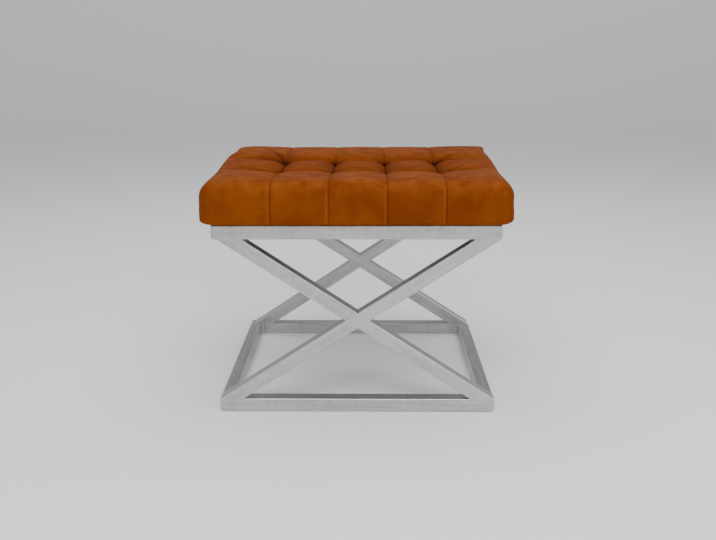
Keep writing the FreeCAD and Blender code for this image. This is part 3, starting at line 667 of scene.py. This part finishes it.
def creases(points, places):
    """Folds that run out of the tufts: long ones at the ends of the seat, short ones all round."""
    draw = np.random.default_rng(SEED)
    depth = np.zeros(len(points))
    for place in places:
        for corner in range(4):
            bearing = math.radians(45 + 90 * corner + draw.uniform(-SHORT_TURN, SHORT_TURN))
            reach = draw.uniform(*SHORT_LENGTHS) * MM
            fold = SHORT_DEPTH * one_crease(points, place, bearing, reach, SHORT_WIDTH)
            depth = np.maximum(depth, fold)
    xs, ys = zip(*places)
    edges = {"left": min(xs), "right": max(xs), "front": min(ys), "rear": max(ys)}
    for end, row, degrees, length in LONG_FOLDS:
        place = edges[end], edges[row]
        fold = LONG_DEPTH * one_crease(points, place, math.radians(degrees), length, LONG_WIDTH)
        depth = np.maximum(depth, fold)
    return depth


def ripples(points, upward):
    """Loose waves in the leather, long along the faces and strongest near their lower edges."""
    face = 1 - np.clip(upward, 0, 1) ** 2
    above = points[:, 2] - SEAT_LOW.z
    level = np.clip(above / (SEAT_HIGH.z - SEAT_LOW.z), 0, 1)
    strength = face * (WAVE_ON_FACE + WAVE_AT_FOOT * (1 - level)) + WAVE_ON_TOP * (1 - face)
    strength *= np.clip(above / WAVE_START, 0, 1)

    def wave(point, density, shift):
        x, y, z = point
        return noise.noise(Vector((x * density[0], y * density[0], z * density[1] + shift)))

    waves = np.array([wave(point, BROAD_WAVE, SEED) + FINE_SHARE * wave(point, FINE_WAVE, 0)
                      for point in points])
    return strength * waves


# Cushion: stuffing and sewing

HOLD_STEPS = 10  # how many strengths of hold the simulation gets
# How far the hold reaches from a tuft, a seam and the underside, and a seam's strength of hold
TUFT_HOLD, SEAM_HOLD, FOOT_HOLD, SEAM_GRIP = 12 * MM, 5 * MM, 10 * MM, 0.55
CLOTH_SETTINGS = {
    "quality": 6, "mass": 0.4, "tension_stiffness": 25, "compression_stiffness": 20,
    "shear_stiffness": 12, "bending_stiffness": 1.5, "use_pressure": True,
}
UNDERSIDE = 3 * MM  # seams stop this far above the underside
TURNED = 0.6  # a face looks along an axis where its normal has more of it than this
OFF_FACE, NO_SEAM = 40 * MM, 1  # added to, or put for, the distance from a seam where none is sewn
ROW_FADE = 0.06  # how fast a row seam sinks under the panels away from its tufts
GROOVE_WIDTH = 2.1 * MM
SEAM_HIGHLIGHT_PLACE, SEAM_HIGHLIGHT_WIDTH = 4.2 * MM, 1.6 * MM  # painted highlight along one side of a seam on the long faces: its offset and width
DEEPEST, DEPTH_POWER = 19 * MM, 1.7
CREST_DEPTH = 5 * MM


def simulate(piece, size, pinned):
    """Blow the leather up with Cloth, hold its seams, tufts and underside, and apply the result."""
    before = points_of(piece)
    group = piece.vertex_groups.new(name="held")
    for level in range(1, HOLD_STEPS + 1):
        members = np.nonzero(np.rint(pinned * HOLD_STEPS).astype(int) == level)[0]
        if len(members):
            group.add([int(m) for m in members], level / HOLD_STEPS, "REPLACE")
    make_active(piece)
    cloth = piece.modifiers.new("Cloth", "CLOTH")
    for name, value in CLOTH_SETTINGS.items():
        setattr(cloth.settings, name, value)
    cloth.settings.uniform_pressure_force = size.pressure
    cloth.settings.effector_weights.gravity = 0
    cloth.settings.vertex_group_mass = "held"
    cloth.point_cache.frame_start = 1
    cloth.point_cache.frame_end = size.steps
    scene = bpy.context.scene
    for step in range(1, size.steps + 1):
        scene.frame_set(step)
    bpy.ops.object.modifier_apply(modifier=cloth.name)
    scene.frame_set(1)
    piece.vertex_groups.clear()
    moved = points_of(piece) - before
    length = np.linalg.norm(moved, axis=1, keepdims=True)
    allowed = size.most_movement * np.tanh(length / size.most_movement)
    set_points(piece, before + moved * allowed / np.maximum(length, 1e-9))


def hold(box, round_box, columns, rows):
    """How firmly each point is held in the simulation: tufts, seams and underside."""
    tuft = np.hypot(nearest(round_box[:, 0], columns), nearest(round_box[:, 1], rows))
    seam = np.minimum(nearest(box[:, 0], columns), nearest(box[:, 1], rows))
    held = np.maximum(nearness(tuft, TUFT_HOLD) ** 0.5, SEAM_GRIP * nearness(seam, SEAM_HOLD))
    return np.maximum(held, nearness(box[:, 2] - SEAT_LOW.z, FOOT_HOLD))


def finish_leather(piece, size, columns, rows, places):
    """Sew the grooves, fold the creases and keep what the material reads."""
    points, normals = points_of(piece), points_of(piece, "normal")
    pattern_x, pattern_y = read(piece, "pattern_x"), read(piece, "pattern_y")
    sunk, upward, sideways = read(piece, "sunk"), read(piece, "upward"), read(piece, "sideways")
    above = points[:, 2] > SEAT_LOW.z + UNDERSIDE
    to_column = nearest(pattern_x, columns)
    # Column seams run over the top and down the long faces, row seams over the top and down the ends
    at_end = np.abs(sideways) > TURNED
    on_face = (upward < TURNED) & (np.abs(sideways) < TURNED)
    column_way = to_column + OFF_FACE * at_end
    row_way = nearest(pattern_y, rows) + OFF_FACE * on_face
    # The row seam is drawn under the panels between the tufts and shows only beside them
    row_way += ROW_FADE * to_column
    seam = np.minimum(column_way, row_way)
    seam[~above] = NO_SEAM
    groove = np.exp(-(seam / GROOVE_WIDTH) ** 2)
    top = np.clip(upward, 0, 1)
    fold = creases(points, places) * top
    lift = size.ripple * ripples(points, upward) - size.seam_groove * groove - size.crease_depth * fold
    set_points(piece, points + normals * lift[:, None])
    # Painted highlight: a strip on one side of each column seam, on the long faces only
    beside = pattern_x[:, None] - columns[None, :]
    signed = beside[np.arange(len(beside)), np.abs(beside).argmin(axis=1)]
    painted_seam_highlight = np.exp(-((signed + SEAM_HIGHLIGHT_PLACE) / SEAM_HIGHLIGHT_WIDTH) ** 2)
    store(piece, "painted_seam_highlight", painted_seam_highlight * (upward < 0.75) * above)
    store(piece, "seam", seam)
    # The leather paints shade by how deep a point is sunk and how deep it lies in a fold
    store(piece, "depth", np.clip(sunk / DEEPEST, 0, 1) ** DEPTH_POWER)
    store(piece, "fold", fold)
    store(piece, "crest", np.clip(1 - sunk / CREST_DEPTH, 0, 1) * top)
    for name in ("pattern_x", "pattern_y", "sunk", "upward", "sideways"):
        piece.data.attributes.remove(piece.data.attributes[name])


def make_leather_cushion(size):
    """The stuffed leather, from a box to its sewn and creased form."""
    columns, rows = tuft_lines()
    places = [(x, y) for x in columns for y in rows]
    piece = sleeve(columns, rows, size)
    box = points_of(piece)
    round_box, outward = rounded(box, size)
    shaped, sunk = shape_leather(round_box, outward, size, columns, rows)
    set_points(piece, shaped)
    simulate(piece, size, hold(box, round_box, columns, rows))
    # What the finishing steps and the leather read: places on the sewn pattern, before the stuffing
    for name, values in (("pattern_x", box[:, 0]), ("pattern_y", box[:, 1]), ("sunk", sunk),
                         ("upward", outward[:, 2]), ("sideways", outward[:, 0])):
        store(piece, name, values)
    make_active(piece)
    smooth = piece.modifiers.new("Smooth leather", "SUBSURF")
    smooth.levels = 1
    smooth.render_levels = 1
    bpy.ops.object.modifier_apply(modifier=smooth.name)
    finish_leather(piece, size, columns, rows, places)
    bpy.ops.object.shade_smooth()
    return piece


# Dust cloth

CLOTH_GRID = (116, 94)
CLOTH_THICKNESS = 0.4 * MM
FLAT_RIM, SAG_LENGTH = 8 * MM, 30 * MM  # the cloth lies flat at its edge, then hangs
SAG_WAVE, SAG_BASE, SAG_VARIES = (11, 23), 0.6, 0.8
PUCKER_LENGTH, PUCKER_RIM, PUCKER_DEPTH = 14 * MM, 22 * MM, 0.5 * MM
STAPLE_WIDTH, STAPLE_HEIGHT, STAPLE_BEVEL = 1.1 * MM, 0.6 * MM, 0.22 * MM
STAPLE_PROUD = 0.2 * MM  # middle of a staple below the cloth's underside


def staple_places(low, high, inset, pitch):
    """Middles and directions of the staples round the cloth's edge."""
    found = []
    for axis, other in ((0, 1), (1, 0)):
        run = high[axis] - low[axis] - 2 * inset
        count = round(run / pitch)
        for edge in (low[other] + inset, high[other] - inset):
            for step in range(count):
                middle = [0.0, 0.0]
                middle[axis] = low[axis] + inset + (step + 0.5) * run / count
                middle[other] = edge
                found.append((*middle, axis))
    return found


def make_dust_cloth(settings):
    """Thin cloth pulled flat under the board, hanging a little and puckered at its staples."""
    low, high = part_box("dust_cover")
    places = staple_places(low, high, settings.staple_inset, settings.staple_pitch)
    deselect()
    bpy.ops.mesh.primitive_grid_add(x_subdivisions=CLOTH_GRID[0], y_subdivisions=CLOTH_GRID[1], size=1)
    piece = bpy.context.object
    piece.name = "dust_cloth"
    points = points_of(piece)
    points = np.column_stack([points[:, 0] * (high.x - low.x), points[:, 1] * (high.y - low.y),
                              np.full(len(points), high.z)])
    to_edge = np.minimum(high.x - np.abs(points[:, 0]), high.y - np.abs(points[:, 1]))
    inner = np.clip((to_edge - FLAT_RIM) / SAG_LENGTH, 0, 1)
    waves = np.array([noise.noise(Vector((x * SAG_WAVE[0], y * SAG_WAVE[1], SEED)))
                      for x, y, _ in points])
    stapled = np.array([[x, y] for x, y, _ in places])
    near = np.sqrt(((points[:, None, :2] - stapled[None]) ** 2).sum(axis=2)).min(axis=1)
    pucker = np.clip(near / PUCKER_LENGTH, 0, 1) * np.clip(1 - to_edge / PUCKER_RIM, 0, 1)
    sag = settings.cloth_sag * inner * (SAG_BASE + SAG_VARIES * waves)
    points[:, 2] -= sag + PUCKER_DEPTH * pucker
    points[:, 2] = np.minimum(points[:, 2], high.z)
    set_points(piece, points)
    make_active(piece)
    thick = piece.modifiers.new("Thickness", "SOLIDIFY")
    thick.thickness = CLOTH_THICKNESS
    thick.offset = -1
    bpy.ops.object.modifier_apply(modifier=thick.name)
    bpy.ops.object.shade_smooth()
    return piece, places


def make_staples(places, height, settings):
    """Flat wire crowns pressed into the cloth, modelled once and copied."""
    deselect()
    bpy.ops.mesh.primitive_cube_add(size=1)
    first = bpy.context.object
    first.name = "staples"
    set_points(first, points_of(first) * (settings.staple_length, STAPLE_WIDTH, STAPLE_HEIGHT))
    bpy.ops.object.mode_set(mode="EDIT")
    bpy.ops.mesh.select_all(action="SELECT")
    bpy.ops.mesh.bevel(offset=STAPLE_BEVEL, segments=1)
    bpy.ops.object.mode_set(mode="OBJECT")
    shape = points_of(first)
    copies = []
    for x, y, axis in places:
        turned = shape if axis == 0 else shape[:, [1, 0, 2]] * (1, -1, 1)
        copy = bpy.data.objects.new("staple", first.data.copy())
        bpy.context.scene.collection.objects.link(copy)
        set_points(copy, turned + (x, y, height))
        copies.append(copy)
    make_active(copies[0])
    for copy in copies:
        copy.select_set(True)
    bpy.ops.object.join()
    bpy.data.objects.remove(first)
    joined = bpy.context.view_layer.objects.active
    joined.name = "staples"
    return joined


# Stage

LIGHTS_AIM = (0, 0, 0.35)
# Soft lights: name, place, width and height, power in watts
LIGHTS = (
    ("overhead", (0, 0.25, 2.4), (2.6, 2.0), 36),
    ("front_high", (0, -1.7, 1.9), (2.2, 0.8), 27),
    ("front_left", (-1.8, -2.4, 1.3), (1.6, 1.6), 5),
    ("front_right", (2.0, -2.0, 1.3), (1.6, 1.6), 18),
)
SURROUND_COLOUR, SURROUND_STRENGTH = (0.95, 0.96, 1, 1), 0.38
CURVE_TURNS, CURVE_RADIUS = 12, 1.1


def look(camera, stage):
    """Turn the camera by its yaw, pitch and roll and put it in its place."""
    yaw, pitch, roll = stage.camera_yaw, stage.camera_pitch, stage.camera_roll
    ahead = Vector((math.sin(yaw) * math.cos(pitch), math.cos(yaw) * math.cos(pitch), -math.sin(pitch)))
    right = Vector((math.cos(yaw), -math.sin(yaw), 0))
    above = right.cross(ahead)
    rolled_right = right * math.cos(roll) + above * math.sin(roll)
    rolled_up = above * math.cos(roll) - right * math.sin(roll)
    turned = Matrix((rolled_right, rolled_up, -ahead)).transposed().to_4x4()
    camera.matrix_world = Matrix.Translation(stage.camera_place) @ turned


def raise_backdrop(floor, stage):
    """Draw the floor's rear edge up in a wide curve, so that no horizon shows."""
    edge = stage.backdrop_place
    bpy.ops.object.mode_set(mode="EDIT")
    mesh = bmesh.from_edit_mesh(floor.data)
    mesh.select_mode = {"EDGE"}
    for item in mesh.edges:
        item.select = all(v.co.y > edge - MM for v in item.verts)
    mesh.select_flush_mode()
    bmesh.update_edit_mesh(floor.data)
    for turn in range(CURVE_TURNS):
        start, stop = (math.pi / 2 * step / CURVE_TURNS for step in (turn, turn + 1))
        move = (0, CURVE_RADIUS * (math.sin(stop) - math.sin(start)),
                CURVE_RADIUS * (math.cos(start) - math.cos(stop)))
        bpy.ops.mesh.extrude_edges_move(TRANSFORM_OT_translate={"value": move})
    bpy.ops.mesh.select_all(action="SELECT")
    bpy.ops.mesh.normals_make_consistent(inside=False)
    bpy.ops.object.mode_set(mode="OBJECT")
    bpy.ops.object.shade_smooth()


def add_light(name, place, size, power):
    """Soft rectangular light that faces the seat."""
    light = bpy.data.lights.new(name, "AREA")
    light.shape = "RECTANGLE"
    light.size, light.size_y = size
    light.energy = power
    lamp = bpy.data.objects.new(name, light)
    bpy.context.scene.collection.objects.link(lamp)
    lamp.location = place
    lamp.rotation_mode = "QUATERNION"
    lamp.rotation_quaternion = (Vector(LIGHTS_AIM) - Vector(place)).to_track_quat("-Z", "Y")


# Operators

class STOOL_OT_frame(bpy.types.Operator):
    """Give the tubes, their end plates and welds a brushed finish"""
    bl_idname = "stool.finish_frame"
    bl_label = "Finish the frame"

    def execute(self, context):
        slope = math.radians(33.3)
        along_x = brushed_steel("steel_along_x")
        along_y = brushed_steel("steel_along_y", across=True)
        rising = brushed_steel("steel_rising", slope=slope)
        falling = brushed_steel("steel_falling", slope=-slope)
        dress([f"{row}_{level}_rail" for row in ("front", "rear") for level in ("top", "bottom")], along_x)
        dress([f"{side}_{level}_rail" for side in ("left", "right") for level in ("top", "bottom")], along_y)
        dress(["front_through_leg", "rear_upper_half_leg", "rear_lower_half_leg"], rising)
        dress(["rear_through_leg", "front_upper_half_leg", "front_lower_half_leg"], falling)
        dress(["front_end_caps", "rear_end_caps", "front_flush_welds", "rear_flush_welds", "corner_welds"],
              along_x)
        return {"FINISHED"}


class STOOL_OT_hardware(bpy.types.Operator):
    """Finish the glides, board, twine, washers, nuts and screws"""
    bl_idname = "stool.finish_hardware"
    bl_label = "Finish the hardware"

    def execute(self, context):
        dress(["foot_glides", "tie_washers"], dull_nylon())
        dress(["tee_nuts", "screw_washers", "seat_screws"], zinc_plate())
        dress(["seat_board"], sawn_plywood())
        dress(["tuft_ties"], waxed_twine())
        return {"FINISHED"}


class STOOL_OT_cushion(bpy.types.Operator):
    """Upholster the seat in tufted leather"""
    bl_idname = "stool.make_cushion"
    bl_label = "Make the cushion"

    def execute(self, context):
        piece = make_leather_cushion(context.scene.stool_cushion)
        dress([piece.name], tan_leather())
        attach(piece, "root")
        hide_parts("leather_cover", "foam_core")
        return {"FINISHED"}


class STOOL_OT_dust_cloth(bpy.types.Operator):
    """Stretch the dust cloth under the seat and staple it"""
    bl_idname = "stool.make_dust_cloth"
    bl_label = "Make the dust cloth"

    def execute(self, context):
        settings = context.scene.stool_cloth
        cloth, places = make_dust_cloth(settings)
        low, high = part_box("dust_cover")
        staples = make_staples(places, low.z - STAPLE_PROUD, settings)
        dress([cloth.name], black_cloth())
        dress([staples.name], zinc_plate())
        for piece in (cloth, staples):
            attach(piece, "root")
        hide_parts("dust_cover")
        return {"FINISHED"}


class STOOL_OT_stage(bpy.types.Operator):
    """Set the pale floor, soft lights and camera"""
    bl_idname = "stool.set_stage"
    bl_label = "Set the stage"

    def execute(self, context):
        stage = context.scene.stool_stage
        deselect()
        bpy.ops.mesh.primitive_plane_add(size=stage.floor_size)
        middle = stage.backdrop_place - stage.floor_size / 2
        bpy.ops.transform.translate(value=(0, middle, 0))
        bpy.ops.object.transform_apply(location=True)
        floor = context.object
        raise_backdrop(floor, stage)
        floor.name = "pale_floor"
        finish = Finish("pale_floor", {"Roughness": 0.9, "Specular IOR Level": 0.1,
                                       "Emission Color": (1, 1, 1, 1), "Emission Strength": stage.glow})
        shade = finish.noise(finish.places(), scale=2.0)
        paler = tuple(min(1.0, part * 1.02) for part in stage.floor_colour[:3]) + (1,)
        finish.feed("Base Color", finish.mix(shade, tuple(stage.floor_colour), paler))
        dress([floor.name], finish)
        camera = bpy.data.objects.new("camera", bpy.data.cameras.new("camera"))
        context.scene.collection.objects.link(camera)
        camera.data.sensor_width = 36
        camera.data.lens = stage.lens
        look(camera, stage)
        context.scene.camera = camera
        for light in LIGHTS:
            add_light(*light)
        world = bpy.data.worlds.new("studio")
        world.use_nodes = True
        surround = world.node_tree.nodes["Background"].inputs
        surround["Color"].default_value = SURROUND_COLOUR
        surround["Strength"].default_value = SURROUND_STRENGTH
        context.scene.world = world
        return {"FINISHED"}


class STOOL_PT_panel(bpy.types.Panel):
    """Lists the steps that finish the stool, and their settings"""
    bl_label = "X frame stool"
    bl_idname = "STOOL_PT_panel"
    bl_space_type = "VIEW_3D"
    bl_region_type = "UI"
    bl_category = "Stool"

    def draw(self, context):
        for step in STEPS:
            self.layout.operator(step.bl_idname)
        for name in SETTINGS:
            group = getattr(context.scene, name)
            for setting in group.__annotations__:
                self.layout.prop(group, setting)


STEPS = (STOOL_OT_stage, STOOL_OT_frame, STOOL_OT_hardware, STOOL_OT_cushion, STOOL_OT_dust_cloth)


def register():
    for group in (*SETTINGS.values(), *STEPS, STOOL_PT_panel):
        bpy.utils.register_class(group)
    for name, group in SETTINGS.items():
        setattr(bpy.types.Scene, name, bpy.props.PointerProperty(type=group))


def unregister():
    for name in SETTINGS:
        delattr(bpy.types.Scene, name)
    for group in reversed((*SETTINGS.values(), *STEPS, STOOL_PT_panel)):
        bpy.utils.unregister_class(group)


def main():
    register()
    bpy.ops.stool.set_stage()
    bpy.ops.stool.finish_frame()
    bpy.ops.stool.finish_hardware()
    bpy.ops.stool.make_cushion()
    bpy.ops.stool.make_dust_cloth()


if __name__ == "__main__":
    main()
